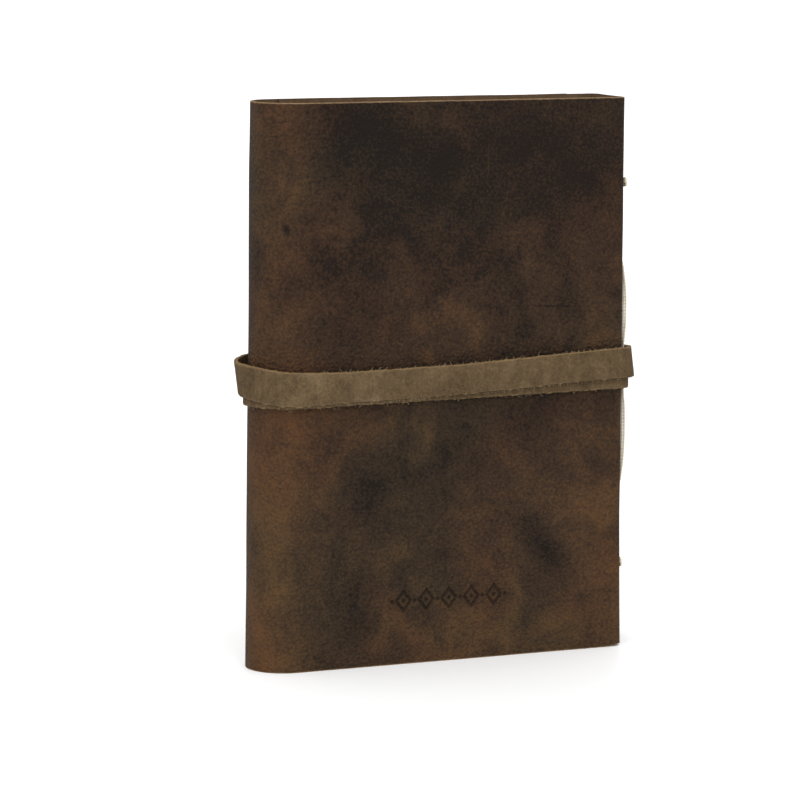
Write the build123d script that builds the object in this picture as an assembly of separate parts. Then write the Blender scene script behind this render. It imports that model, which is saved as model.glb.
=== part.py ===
from build123d import *
from math import cos, radians, sin
import os

# A hand-bound leather journal, standing on its tail edges. +X points to the spine, -Y to the outer
# face of the back cover and +Z to the head. The origin is the bottom centre of the whole object's box.
# One hide makes the flap, fore-edge fold, back cover, spine and front cover. It is split at its folds,
# because each stretch of it moves by itself. All sizes are in millimetres.

# The leather
book_height = 210.0         # tail to head
book_width = 147.0          # outside of the fore-edge fold to the outside of the spine
book_thickness = 28.4       # outer face of the back cover to the outer face of the flap
leather = 1.5               # thickness of the hide
spine_corner = 3.0          # outer radius of both corners of the spine
flap_margin = 12.0          # bare strip of front cover between the flap's free edge and the spine
layer_gap = 0.3             # air between neighbouring layers: leather to leather, leather to paper
split_gap = 0.3             # air where the hide is split between two moving stretches

# The pages
section_count = 6           # gatherings of folded sheets
page_recess = 4.0           # leather that stands past the paper at the head and at the tail
page_back_gap = 0.4         # air between the folds of the sections and the inside of the spine
fore_edge_gap = 0.6         # paper's fore edge to the start of the fore-edge fold
section_gap = 0.8           # air between neighbouring sections, which lets them fan out
outer_sheet = 0.3           # the stout sheet wrapped round each section
sheet_gap = 0.02            # air between that sheet and the sheets inside it
centre_slit = 0.1           # opening between the two middle leaves of a section

# The sewing thread
thread = 0.95               # one strand
hole_clearance = 0.1        # thread to the edge of its hole, on the radius
hole_edge = 0.2             # leather left between the outermost holes and the corners of the spine
long_stitch_reach = 42.6    # middle of the spine to the end of a long stitch
kettle_reach = 72.8         # middle of the spine to the short stitches near head and tail
stitch_proud = 1.9          # how far a long stitch stands off the spine
kettle_proud = 1.3          # how far a short stitch stands off the spine
channel_clearance = 0.08    # thread to the wall of the fold that it lies in, on the radius
stitch_rounding = 0.49      # radius on a stitch's outer edges, as a share of one strand

# The strap, wound twice round the closed book
strap_width = 12.0
strap_thickness = 1.6
strap_gap = 0.2             # strap to leather, and turn to turn
strap_middle = 106.5        # height of the strap's middle line above the tail
strap_bulge = 2.2           # extra room left by the outer turn at the fore edge
strap_start = 18.0          # tucked inner end, measured from the middle of the front
strap_ramp = 7.0            # length over which the second turn climbs onto the first
strap_end_gap = 4.0         # outer end to the foot of that ramp
strap_tuck_gap = 1.0        # tucked inner end to the top of that ramp
strap_ramp_radius = 3.0     # middle line of the strap at both ends of the ramp
strap_short_run = 0.2       # straight run between the two quarter rounds at the fore edge

# Places worked out from the sizes above
strap_inner_y = book_thickness / 2 + strap_gap + strap_thickness / 2
strap_outer_y = strap_inner_y + strap_thickness + strap_gap
left_reach = strap_outer_y + strap_thickness / 2 - book_thickness / 2 + strap_bulge
right_reach = stitch_proud + 2 * (strap_gap + strap_thickness)
spine_x = book_width / 2 + (left_reach - right_reach) / 2     # outer face of the spine
fold_x = spine_x - book_width + book_thickness / 2            # centre line of the fore-edge fold
back_y = -book_thickness / 2                                  # outer face of the back cover
back_inner_y = back_y + leather
flap_y = book_thickness / 2                                   # outer face of the flap
front_y = flap_y - leather - layer_gap                        # outer face of the front cover
front_inner_y = front_y - leather
cover_end_x = spine_x - spine_corner                          # where the flat covers meet the corners
middle_z = book_height / 2

pile = front_inner_y - back_inner_y - 2 * layer_gap - (section_count - 1) * section_gap
section_thickness = pile / section_count
section_radius = section_thickness / 2
section_x = spine_x - leather - page_back_gap - section_radius
page_width = section_x - (fold_x + fore_edge_gap)
page_height = book_height - 2 * page_recess

fold_names = ["foredge_fold_back", "foredge_fold_middle", "foredge_fold_front"]
fold_turn = 180 / len(fold_names)                             # each strip's share of the half round
corner_turn = 90


def flattening_axis(x, y, outer_radius, start_angle, turn):
    """Where a joint along Z stands, so that turning by the bend's own angle lays its hide out flat."""
    middle_radius = outer_radius - leather / 2
    half_turn = radians(turn / 2)
    reach = middle_radius * half_turn / sin(half_turn)
    direction = radians(start_angle) + half_turn
    return x + reach * cos(direction), y + reach * sin(direction)


def section_y(number):
    """Middle plane of a section, where number 0 lies on the back cover."""
    first = back_inner_y + layer_gap + section_radius
    return first + number * (section_thickness + section_gap)


def plate(x_low, x_high, y_low, y_high, z_low, z_high):
    size = (x_high - x_low, y_high - y_low, z_high - z_low)
    return Pos(x_low, y_low, z_low) * Box(*size, align=(Align.MIN, Align.MIN, Align.MIN))


def rod_along_z(x, y, radius, z_low, z_high):
    rod = Cylinder(radius, z_high - z_low, align=(Align.CENTER, Align.CENTER, Align.MIN))
    return Pos(x, y, z_low) * rod


def rod_along_x(x_low, x_high, y, z, radius):
    rod = Cylinder(radius, x_high - x_low, align=(Align.CENTER, Align.CENTER, Align.MIN))
    return Pos(x_low, y, z) * Rot(0, 90, 0) * rod


# The hide

def make_back_cover():
    return plate(fold_x, cover_end_x, back_y, back_inner_y, 0, book_height)


def bend(x, y, outer_radius, start_angle, turn):
    """A curved stretch of the hide, with its axis along Z at x, y."""
    inner_radius = outer_radius - leather
    start, end = radians(start_angle), radians(start_angle + turn)
    outer = CenterArc((x, y), outer_radius, start_angle, turn)
    inner = CenterArc((x, y), inner_radius, start_angle, turn)
    first = Line((x + inner_radius * cos(start), y + inner_radius * sin(start)),
                 (x + outer_radius * cos(start), y + outer_radius * sin(start)))
    last = Line((x + inner_radius * cos(end), y + inner_radius * sin(end)),
                (x + outer_radius * cos(end), y + outer_radius * sin(end)))
    return extrude(make_face([first, outer, last, inner]), amount=book_height, dir=(0, 0, 1))


def fold_bend(number):
    """Place of a strip of the fore-edge fold. Number 0 joins the back cover and the last joins the flap."""
    return fold_x, 0, book_thickness / 2, 270 - (number + 1) * fold_turn, fold_turn


def corner_bend(outer_y, start_angle):
    """Place of a corner of the spine, where outer_y is the outer face of the cover that it joins."""
    inward = 1 if outer_y < 0 else -1
    return cover_end_x, outer_y + inward * spine_corner, spine_corner, start_angle, corner_turn


def make_flap():
    return plate(fold_x + split_gap, spine_x - flap_margin, flap_y - leather, flap_y, 0, book_height)


def make_front_cover():
    return plate(fold_x + fore_edge_gap, cover_end_x - split_gap, front_inner_y, front_y, 0, book_height)


def sewing_heights():
    reaches = (-kettle_reach, -long_stitch_reach, long_stitch_reach, kettle_reach)
    return [middle_z + reach for reach in reaches]


def make_spine():
    """Flat wall of the spine with a row of four sewing holes for each section."""
    y_low = back_y + spine_corner + split_gap
    y_high = front_y - spine_corner - split_gap
    wall = plate(spine_x - leather, spine_x, y_low, y_high, 0, book_height)
    hole_radius = thread / 2 + hole_clearance
    for number in range(section_count):
        for height in sewing_heights():
            wall -= rod_along_x(spine_x - leather, spine_x, stitch_y(number), height, hole_radius)
    return wall


def stitch_y(number):
    """Place of a section's stitches across the spine. The holes stay on its flat wall."""
    edge = spine_corner + split_gap + thread / 2 + hole_clearance + hole_edge
    y_low, y_high = back_y + edge, front_y - edge
    return y_low + (y_high - y_low) * number / (section_count - 1)


# The pages

def folded_sheets(number, radius):
    """Flat leaves with a half-round fold at the spine, filled solid to the given radius."""
    y = section_y(number)
    leaves = plate(section_x - page_width, section_x, y - radius, y + radius,
                   page_recess, page_recess + page_height)
    return leaves + rod_along_z(section_x, y, radius, page_recess, page_recess + page_height)


def make_outer_sheet(number):
    inner_radius = section_radius - outer_sheet
    return folded_sheets(number, section_radius) - folded_sheets(number, inner_radius)


def make_inner_sheets(number):
    """The sheets inside the outer one, open down the middle, with room for the thread in their fold."""
    y = section_y(number)
    block = folded_sheets(number, section_radius - outer_sheet - sheet_gap)
    half_slit = centre_slit / 2
    top = page_recess + page_height
    slit = plate(section_x - page_width, section_x, y - half_slit, y + half_slit, page_recess, top)
    channel = rod_along_z(section_x, y, thread / 2 + channel_clearance, page_recess, top)
    return block - slit - channel


# The thread

def make_inside_thread(number):
    """The runs of thread that lie in the fold: one near the tail, one near the head."""
    tail_low, tail_high, head_low, head_high = sewing_heights()
    runs = [(tail_low, tail_high), (head_low, head_high)]
    return Compound([rod_along_z(section_x, section_y(number), thread / 2, low, high) for low, high in runs])


def rounded_bar(x_low, x_high, y_low, y_high, z_low, z_high, edge_axis):
    bar = plate(x_low, x_high, y_low, y_high, z_low, z_high)
    return fillet(bar.edges().filter_by(edge_axis).sort_by(Axis.X)[-2:], thread * stitch_rounding)


def make_long_stitch(number):
    """Two strands side by side down the spine, each end passing in through the leather."""
    y = stitch_y(number)
    low, high = middle_z - long_stitch_reach, middle_z + long_stitch_reach
    stitch = rounded_bar(spine_x, spine_x + stitch_proud, y - thread, y + thread,
                         low - thread / 2, high + thread / 2, Axis.Z)
    for height in (low, high):
        stitch += rod_along_x(spine_x - leather, spine_x + thread / 2, y, height, thread / 2)
    return stitch


def make_kettle_stitches(height):
    """A run of short stitches that links every section to its neighbour across the spine."""
    first, last = stitch_y(0), stitch_y(section_count - 1)
    stitch = rounded_bar(spine_x, spine_x + kettle_proud, first - thread / 2, last + thread / 2,
                         height - thread, height + thread, Axis.Y)
    for number in range(section_count):
        stitch += rod_along_x(spine_x - leather, spine_x + thread / 2, stitch_y(number), height, thread / 2)
    return stitch


# The strap

def make_strap():
    """One strap wound twice: the second turn climbs over the tucked end of the first."""
    inner_left = fold_x - strap_inner_y
    outer_left = fold_x - strap_outer_y - strap_bulge
    inner_right = spine_x + stitch_proud + strap_gap + strap_thickness / 2
    outer_right = inner_right + strap_thickness + strap_gap
    corner = spine_corner + stitch_proud + strap_thickness / 2
    inner_fold = strap_inner_y - strap_short_run
    outer_fold = strap_outer_y - strap_short_run
    ramp_top = strap_start + strap_thickness + strap_tuck_gap
    ramp_foot = ramp_top + strap_ramp
    corners = [
        ((strap_start, strap_inner_y), None),
        ((inner_left, strap_inner_y), inner_fold),
        ((inner_left, -strap_inner_y), inner_fold),
        ((inner_right, -strap_inner_y), corner),
        ((inner_right, strap_inner_y), corner),
        ((ramp_foot, strap_inner_y), strap_ramp_radius),
        ((ramp_top, strap_outer_y), strap_ramp_radius),
        ((outer_left, strap_outer_y), outer_fold),
        ((outer_left, -strap_outer_y), outer_fold),
        ((outer_right, -strap_outer_y), corner + strap_thickness),
        ((outer_right, strap_outer_y), corner + strap_thickness),
        ((ramp_foot + strap_end_gap, strap_outer_y), None),
    ]
    path = FilletPolyline(*[point for point, _ in corners], radius=[r for _, r in corners if r])
    ribbon = Sketch() + [sweep(edge.perpendicular_line(strap_thickness, 0), edge) for edge in path.edges()]
    return Pos(0, 0, strap_middle - strap_width / 2) * extrude(ribbon, amount=strap_width, dir=(0, 0, 1))


def main():
    os.makedirs("parts", exist_ok=True)
    back_corner = corner_bend(back_y, -90)
    front_corner = corner_bend(front_y, 0)
    nodes = {
        "back_cover": make_back_cover(),
        "flap": make_flap(),
        "spine_back_corner": bend(*back_corner),
        "spine": make_spine(),
        "spine_front_corner": bend(*front_corner),
        "front_cover": make_front_cover(),
        "strap": make_strap(),
        "tail_kettle_stitches": make_kettle_stitches(middle_z - kettle_reach),
        "head_kettle_stitches": make_kettle_stitches(middle_z + kettle_reach),
    }
    for number, name in enumerate(fold_names):
        nodes[name] = bend(*fold_bend(number))
    for number in range(section_count):
        name = f"section_{number + 1}"
        nodes[f"{name}_outer_sheet"] = make_outer_sheet(number)
        nodes[f"{name}_inner_sheets"] = make_inner_sheets(number)
        nodes[f"{name}_inside_thread"] = make_inside_thread(number)
        nodes[f"{name}_long_stitch"] = make_long_stitch(number)
    for name, shape in nodes.items():
        export_step(shape, f"parts/{name}.step")
    axes = {"spine": flattening_axis(*back_corner), "front_cover": flattening_axis(*front_corner)}
    for number, name in enumerate(fold_names):
        axes[name] = flattening_axis(*fold_bend(number))
    for number in range(section_count):
        axes[f"section_{number + 1}"] = (section_x, section_y(number))
    for name, (x, y) in axes.items():
        print(f"joint axis {name}: x {x:.4f}, y {y:.4f}")
    return axes


joint_axes = main()
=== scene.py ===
import math
import random
import bpy
from mathutils import Matrix, Vector, noise


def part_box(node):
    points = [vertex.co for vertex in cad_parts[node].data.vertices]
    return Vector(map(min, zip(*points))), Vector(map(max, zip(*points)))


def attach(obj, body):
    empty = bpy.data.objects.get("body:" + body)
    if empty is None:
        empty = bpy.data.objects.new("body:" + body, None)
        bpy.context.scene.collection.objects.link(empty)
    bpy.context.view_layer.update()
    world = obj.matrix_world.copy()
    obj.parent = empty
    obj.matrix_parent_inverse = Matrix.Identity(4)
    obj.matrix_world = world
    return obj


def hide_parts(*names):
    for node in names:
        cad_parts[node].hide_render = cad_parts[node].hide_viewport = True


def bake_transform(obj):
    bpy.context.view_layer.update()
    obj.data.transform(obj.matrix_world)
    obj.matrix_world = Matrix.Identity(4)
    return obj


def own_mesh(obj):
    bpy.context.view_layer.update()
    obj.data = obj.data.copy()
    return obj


# A leather journal: one hide wrapped round six sewn sections, with a strap wound twice round the middle.
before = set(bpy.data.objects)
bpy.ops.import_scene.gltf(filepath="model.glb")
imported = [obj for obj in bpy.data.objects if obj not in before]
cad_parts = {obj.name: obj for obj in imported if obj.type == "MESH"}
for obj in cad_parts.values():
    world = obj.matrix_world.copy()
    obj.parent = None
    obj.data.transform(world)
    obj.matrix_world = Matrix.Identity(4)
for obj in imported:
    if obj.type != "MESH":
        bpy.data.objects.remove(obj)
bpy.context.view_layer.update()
mm = 0.001

# places that everything else is built from
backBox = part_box("back_cover")
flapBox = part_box("flap")
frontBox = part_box("front_cover")
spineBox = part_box("spine")
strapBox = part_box("strap")
foldX = backBox[0].x      # middle line of the half-round fold
backY = backBox[0].y      # grain face of the back cover
hideThickness = backBox[1].y - backBox[0].y
cornerX = backBox[1].x    # where the flat covers meet the corners of the spine
spineX = spineBox[1].x
cornerRadius = spineX - cornerX
flapY = flapBox[1].y
frontY = frontBox[1].y
headZ = backBox[1].z
sectionCount = 6


def sectionNode(number, part):
    return f"section_{number + 1}_{part}"


def deselectAll():
    if bpy.context.object and bpy.context.object.mode != "OBJECT":
        bpy.ops.object.mode_set(mode="OBJECT")
    bpy.ops.object.select_all(action="DESELECT")


def takeUp(piece):
    deselectAll()
    piece.select_set(True)
    bpy.context.view_layer.objects.active = piece


def startEditing(piece):
    takeUp(piece)
    bpy.ops.object.mode_set(mode="EDIT")
    bpy.ops.mesh.select_all(action="DESELECT")


def selectAll():
    bpy.ops.mesh.select_all(action="SELECT")


def stopEditing():
    bpy.ops.object.mode_set(mode="OBJECT")


def settle(piece):
    takeUp(piece)    # the place goes into the mesh, so the object stays at the origin
    bpy.ops.object.transform_apply(location=True, rotation=True, scale=True)


def modify(piece, name, kind, **settings):
    modifier = piece.modifiers.new(name, kind)
    for setting, value in settings.items():
        setattr(modifier, setting, value)


def applyAll(piece):
    takeUp(piece)
    for modifier in list(piece.modifiers):
        bpy.ops.object.modifier_apply(modifier=modifier.name)


def selectWhere(piece, kind, wanted):
    # picks faces or edges by a test, and leaves the piece in edit mode
    startEditing(piece)
    bpy.ops.mesh.select_mode(type=kind)
    stopEditing()
    for part in piece.data.polygons if kind == "FACE" else piece.data.edges:
        part.select = wanted(part)
    bpy.ops.object.mode_set(mode="EDIT")


def smooth(piece, degrees=38):
    takeUp(piece)
    bpy.ops.object.shade_smooth_by_angle(angle=math.radians(degrees))


def dressIn(piece, *materials):
    piece.data.materials.clear()
    for material in materials:
        piece.data.materials.append(material)


def easeBetween(value, low, high):
    share = min(1, max(0, (value - low) / (high - low)))
    return share * share * (3 - 2 * share)


def copyOf(piece, name):
    takeUp(piece)
    bpy.ops.object.duplicate(linked=False)
    twin = bpy.context.object
    twin.name = name
    return twin


def addObject(name, data):
    piece = bpy.data.objects.new(name, data)
    bpy.context.scene.collection.objects.link(piece)
    return piece


def joinPieces(parts):
    deselectAll()
    for part in parts:
        part.select_set(True)
    bpy.context.view_layer.objects.active = parts[0]
    bpy.ops.object.join()
    return bpy.context.object


def firstPoint(x, y):
    # leaves one selected vertex in the mesh being edited
    bpy.ops.mesh.select_all(action="DESELECT")
    bpy.ops.mesh.primitive_plane_add(size=mm, location=(x, y, 0))
    bpy.ops.mesh.merge(type="CENTER")


def run(dx, dy, steps):
    for step in range(steps):
        bpy.ops.mesh.extrude_vertices_move(TRANSFORM_OT_translate={"value": (dx / steps, dy / steps, 0)})


def turnRound(x, y, degrees, steps):      # anticlockwise seen from above
    bpy.ops.mesh.spin(steps=steps, angle=-math.radians(degrees), center=(x, y, 0), axis=(0, 0, 1))


def newMesh(name):
    # an empty mesh object at the origin, ready to be drawn in edit mode
    deselectAll()
    bpy.ops.mesh.primitive_plane_add(size=mm)
    piece = bpy.context.object
    piece.name = name
    bpy.ops.object.mode_set(mode="EDIT")
    bpy.ops.mesh.select_mode(type="VERT")
    selectAll()
    bpy.ops.mesh.delete(type="VERT")
    return piece


def raiseBy(heights):
    # extrudes the drawn plan upwards, row by row
    selectAll()
    bpy.ops.mesh.select_mode(type="EDGE")
    for low, high in zip(heights, heights[1:]):
        bpy.ops.mesh.extrude_edges_move(TRANSFORM_OT_translate={"value": (0, 0, high - low)})


def newGroup(name, inputs, outputs):
    # takes a vector and named numbers, and puts out numbers
    group = bpy.data.node_groups.new(name, "ShaderNodeTree")
    group.interface.new_socket(name="Vector", in_out="INPUT", socket_type="NodeSocketVector")
    for label, value in inputs.items():
        socket = group.interface.new_socket(name=label, in_out="INPUT", socket_type="NodeSocketFloat")
        socket.default_value = value
    for label in outputs:
        group.interface.new_socket(name=label, in_out="OUTPUT", socket_type="NodeSocketFloat")
    return group, group.nodes.new("NodeGroupInput"), group.nodes.new("NodeGroupOutput")


def place(tree, kind, settings=None, **sockets):
    # adds a node; a socket value is a number, a colour or another node's socket
    node = tree.nodes.new(kind)
    for name, value in (settings or {}).items():
        setattr(node, name, value)
    for name, value in sockets.items():
        plug(tree, node.inputs[name.replace("_", " ")], value)
    return node


def plug(tree, socket, value):
    if isinstance(value, bpy.types.NodeSocket):
        tree.links.new(value, socket)
    else:
        socket.default_value = value


def calculate(tree, operation, *values):
    node = place(tree, "ShaderNodeMath", {"operation": operation})
    for socket, value in zip(node.inputs, values):
        plug(tree, socket, value)
    return node.outputs[0]


def mixColours(tree, factor, first, second, blend="MIX"):
    node = place(tree, "ShaderNodeMix", {"data_type": "RGBA", "blend_type": blend})
    for socket, value in zip((0, 6, 7), (factor, first, second)):      # factor and the two colours
        plug(tree, node.inputs[socket], value)
    return node.outputs[2]


def ramp(tree, factor, stops):
    node = tree.nodes.new("ShaderNodeValToRGB")
    plug(tree, node.inputs[0], factor)
    elements = node.color_ramp.elements
    while len(elements) < len(stops):
        elements.new(0.5)
    for element, (position, colour) in zip(elements, stops):
        element.position = position
        element.color = colour if hasattr(colour, "__len__") else (colour, colour, colour, 1)
    return node.outputs[0]


def between(tree, value, low, high, start=0.0, end=1.0):
    node = place(tree, "ShaderNodeMapRange", {"interpolation_type": "SMOOTHSTEP"})
    for socket, number in zip(node.inputs, (value, low, high, start, end)):
        plug(tree, socket, number)
    return node.outputs[0]


def cloudNoise(tree, vector, scale, **sockets):
    return place(tree, "ShaderNodeTexNoise", None, Vector=vector, Scale=scale, **sockets).outputs["Fac"]


def weigh(tree, first, share, second):
    # mixes two values: the first one's share, and the rest of the second
    return calculate(tree, "MULTIPLY_ADD", first, share, calculate(tree, "MULTIPLY", second, 1 - share))


def makeGrainGroup():
    # pebbled grain as a height
    group, given, result = newGroup(
        "leatherGrain", {"Pebbles": 900.0, "Pebble Depth": 0.6, "Wrinkles": 0.3}, ["Height"])
    vector = given.outputs["Vector"]
    pebbles = place(group, "ShaderNodeTexVoronoi", {"feature": "SMOOTH_F1"},
                    Vector=vector, Scale=given.outputs["Pebbles"], Smoothness=0.6)
    fine = cloudNoise(group, vector, calculate(group, "MULTIPLY", given.outputs["Pebbles"], 1.7), Detail=3.0)
    wrinkles = place(group, "ShaderNodeTexNoise", {"noise_type": "RIDGED_MULTIFRACTAL"}, Vector=vector,
                     Scale=calculate(group, "MULTIPLY", given.outputs["Pebbles"], 0.12), Detail=5.0)
    pebbled = calculate(group, "MULTIPLY", pebbles.outputs["Distance"], given.outputs["Pebble Depth"])
    wrinkled = calculate(group, "MULTIPLY", wrinkles.outputs["Fac"], given.outputs["Wrinkles"])
    raised = calculate(group, "MULTIPLY_ADD", fine, 0.35, wrinkled)
    group.links.new(calculate(group, "SUBTRACT", raised, pebbled), result.inputs["Height"])
    return group


def makeMottleGroup():
    # cloudy tone of an oiled hide: broad clouds, smaller patches and a fine speckle, from 0 to 1
    group, given, result = newGroup(
        "oiledMottle", {"Cloud Scale": 22.0, "Speckle Scale": 700.0, "Speckle": 0.25}, ["Tone", "Patches"])
    vector = given.outputs["Vector"]
    cloudScale = given.outputs["Cloud Scale"]
    clouds = cloudNoise(group, vector, cloudScale, Detail=2.0, Roughness=0.5, Distortion=0.4)
    patches = cloudNoise(group, vector, calculate(group, "MULTIPLY", cloudScale, 3.7),
                         Detail=4.0, Roughness=0.6, Distortion=0.8)
    speckle = cloudNoise(group, vector, given.outputs["Speckle Scale"], Detail=4.0, Roughness=0.7)
    speckled = calculate(group, "SUBTRACT", speckle, 0.5)
    tone = calculate(group, "MULTIPLY_ADD", speckled, given.outputs["Speckle"],
                     weigh(group, clouds, 0.45, patches))
    group.links.new(tone, result.inputs["Tone"])
    group.links.new(patches, result.inputs["Patches"])
    return group


def makeRimGroup():
    # wear that creeps in from the head and the tail, with a ragged border
    group, given, result = newGroup(
        "rimWear", {"Head": 0.21, "Reach": 0.0012, "Raggedness": 0.0008}, ["Mask"])
    height = place(group, "ShaderNodeSeparateXYZ", None, Vector=given.outputs["Vector"]).outputs["Z"]
    ragged = cloudNoise(group, given.outputs["Vector"], 420.0, Detail=3.0)
    wobble = calculate(group, "SUBTRACT", ragged, 0.5)
    shift = calculate(group, "MULTIPLY", wobble, given.outputs["Raggedness"])
    fromHead = calculate(group, "SUBTRACT", given.outputs["Head"], height)
    nearest = calculate(group, "ADD", calculate(group, "MINIMUM", fromHead, height), shift)
    mask = between(group, nearest, 0.0, given.outputs["Reach"], 1.0, 0.0)
    group.links.new(mask, result.inputs["Mask"])
    return group


grainGroup = makeGrainGroup()
mottleGroup = makeMottleGroup()
rimGroup = makeRimGroup()


def useGroup(tree, group, **sockets):
    return place(tree, "ShaderNodeGroup", {"node_tree": group}, **sockets)


def newMaterial(name, roughness, specular):
    material = bpy.data.materials.new(name)
    material.use_nodes = True
    tree = material.node_tree
    shader = tree.nodes["Principled BSDF"]
    shader.inputs["Roughness"].default_value = roughness
    shader.inputs["Specular IOR Level"].default_value = specular
    where = tree.nodes.new("ShaderNodeTexCoord").outputs["Object"]
    return material, tree, shader, where


def roughen(tree, shader, height, strength, distance):
    bump = place(tree, "ShaderNodeBump", None, Height=height, Strength=strength, Distance=distance)
    tree.links.new(bump.outputs["Normal"], shader.inputs["Normal"])


def addMottleAndGrain(tree, where, look):
    mottle = useGroup(tree, mottleGroup, Vector=where, Cloud_Scale=look["cloudScale"],
                      Speckle_Scale=look["speckleScale"], Speckle=look["speckle"])
    grain = useGroup(tree, grainGroup, Vector=where, Pebbles=look["pebbles"],
                     Pebble_Depth=look["pebbleDepth"], Wrinkles=look["wrinkles"])
    return mottle, grain


coverLook = {
    "dark": (0.0118, 0.0083, 0.0064, 1), "middle": (0.0365, 0.0222, 0.0130, 1),
    "light": (0.086, 0.046, 0.0200, 1), "worn": (0.17, 0.105, 0.055, 1), "stampAndHoleShade": (0.010, 0.0075, 0.006, 1),
    "roughness": 0.66, "specular": 0.06, "cloudScale": 17.0, "speckleScale": 1000.0, "speckle": 0.45,
    "pebbles": 900.0, "pebbleDepth": 0.8, "wrinkles": 0.35, "grainInTone": 0.30, "grainHeight": 0.8 * mm,
    "tailTone": 0.09, "headTone": -0.11, "foldRub": 0.16, "paintedFoldShade": 0.13, "spineRub": 0.05,
    "rimReach": 0.6 * mm, "rimRagged": 1.1 * mm,
    # x, height, half width, half height in mm, turn, then how much darker (below zero: paler) the hide is;
    # the dark creases are painted shade
    "marksAndCreaseShade": [(-36, 196, 26, 22, 0, 0.13), (6, 186, 50, 30, 0, 0.09), (55, 182, 30, 34, 0, 0.08),
               (-33, 66, 17, 24, 0, 0.12), (-36, 24, 13, 20, 0, 0.11), (41, 40, 23, 9, 52, 0.24),
               (35, 50, 9, 7, 0, 0.10), (30, 97, 24, 12, 0, 0.12), (-42, 122, 18, 26, 0, 0.06),
               (-12, 163, 16, 9, 20, -0.11),
               (-42, 164, 18, 11, 0, -0.12), (0, 128, 22, 14, 0, -0.13), (66, 120, 14, 16, 0, -0.13),
               (-9, 84, 16, 12, -30, -0.10), (8, 14, 52, 20, 0, -0.10), (60, 60, 20, 24, 0, -0.07),
               (-64.5, 164, 1.9, 3.4, -20, 0.30), (-52, 6, 20, 10, 0, 0.05),
               # creases, darkened as painted shade, and one long scratch
               (46, 132, 15, 0.55, 3, 0.20), (44, 114, 13, 0.6, 2, 0.22), (50, 111, 9, 0.4, -4, 0.16),
               (-66, 203, 5, 0.4, -12, 0.22), (-67, 198, 5, 0.35, -8, 0.18), (16, 187, 0.45, 22, 2, -0.13),
               (24, 176, 0.3, 10, 8, -0.09), (-24, 174, 6, 0.35, 35, -0.12), (-2, 150, 0.3, 6, -20, -0.10)],
}


def makeCoverGrain():
    look = coverLook
    material, tree, shader, where = newMaterial("coverGrain", look["roughness"], look["specular"])
    x, y, z = place(tree, "ShaderNodeSeparateXYZ", None, Vector=where).outputs
    mottle, grain = addMottleAndGrain(tree, where, look)
    upward = between(tree, z, 0.0, headZ, look["tailTone"], look["headTone"])
    tone = calculate(tree, "ADD", mottle.outputs["Tone"], upward)
    foldRubAndShade = between(tree, x, foldX - 10 * mm, foldX + 16 * mm, look["foldRub"], 0.0)    # rubbed paler
    behind = between(tree, y, -2 * mm, 4 * mm, 0.0, look["paintedFoldShade"])      # painted shade: darker further round, where the fold turns away from the light
    behind = calculate(tree, "MULTIPLY", behind, between(tree, y, 6 * mm, 13.5 * mm, 1.0, 0.0))
    behind = calculate(tree, "MULTIPLY", behind, between(tree, x, foldX - 8 * mm, foldX - 2 * mm, 1.0, 0.0))
    foldRubAndShade = calculate(tree, "SUBTRACT", foldRubAndShade, behind)
    onSpine = between(tree, x, cornerX - 25 * mm, cornerX, 0.0, look["spineRub"])
    tone = calculate(tree, "ADD", tone, calculate(tree, "ADD", foldRubAndShade, onSpine))
    centred = calculate(tree, "ADD", grain.outputs["Height"], 0.12)
    tone = calculate(tree, "MULTIPLY_ADD", centred, look["grainInTone"], tone)
    # stains and scratches, and painted shade in the creases, each as a ragged oval
    for markX, markZ, halfWidth, halfHeight, turn, depth in look["marksAndCreaseShade"]:
        spot = place(tree, "ShaderNodeMapping", {"vector_type": "TEXTURE"}, Vector=where)
        spot.inputs["Location"].default_value = (markX * mm, 0, markZ * mm)
        spot.inputs["Rotation"].default_value = (0, math.radians(turn), 0)
        spot.inputs["Scale"].default_value = (halfWidth * mm, 1, halfHeight * mm)
        away = place(tree, "ShaderNodeVectorMath", {"operation": "LENGTH"}, Vector=spot.outputs["Vector"])
        ragged = calculate(tree, "MULTIPLY_ADD", mottle.outputs["Patches"], -1.5, away.outputs["Value"])
        tone = calculate(tree, "SUBTRACT", tone, between(tree, ragged, -0.9, 0.35, depth, 0.0))
    colour = ramp(tree, tone, [(0.3, look["dark"]), (0.54, look["middle"]), (0.86, look["light"])])
    hue = cloudNoise(tree, where, 15.0, Detail=2.0, Distortion=0.6)
    tint = ramp(tree, hue, [(0.38, (0.96, 1.01, 1.0, 1)), (0.62, (1.10, 0.97, 0.95, 1))])
    colour = mixColours(tree, 1.0, colour, tint, "MULTIPLY")
    # darker where stamped, and painted shade round the sewing holes
    stampAndHoleShade = place(tree, "ShaderNodeAttribute", {"attribute_name": "pressed"}).outputs["Fac"]
    colour = mixColours(tree, stampAndHoleShade, colour, look["stampAndHoleShade"])
    wear = useGroup(tree, rimGroup, Vector=where, Head=headZ, Reach=look["rimReach"],
                    Raggedness=look["rimRagged"])
    colour = mixColours(tree, wear.outputs["Mask"], colour, look["worn"])
    tree.links.new(colour, shader.inputs["Base Color"])
    shine = calculate(tree, "MULTIPLY_ADD", mottle.outputs["Patches"], 0.22, look["roughness"] - 0.1)
    tree.links.new(shine, shader.inputs["Roughness"])
    roughen(tree, shader, grain.outputs["Height"], 1.0, look["grainHeight"])
    return material


def makeSuede(name, dark, light, scale):
    # flesh side or cut edge of a hide: short matted fibres
    material, tree, shader, where = newMaterial(name, 0.92, 0.12)
    nap = cloudNoise(tree, where, scale, Detail=6.0, Roughness=0.75)
    matted = cloudNoise(tree, where, scale * 0.12, Detail=3.0, Distortion=1.2)
    colour = ramp(tree, weigh(tree, nap, 0.6, matted), [(0.3, dark), (0.72, light)])
    tree.links.new(colour, shader.inputs["Base Color"])
    roughen(tree, shader, nap, 0.8, 0.3 * mm)
    return material


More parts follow.
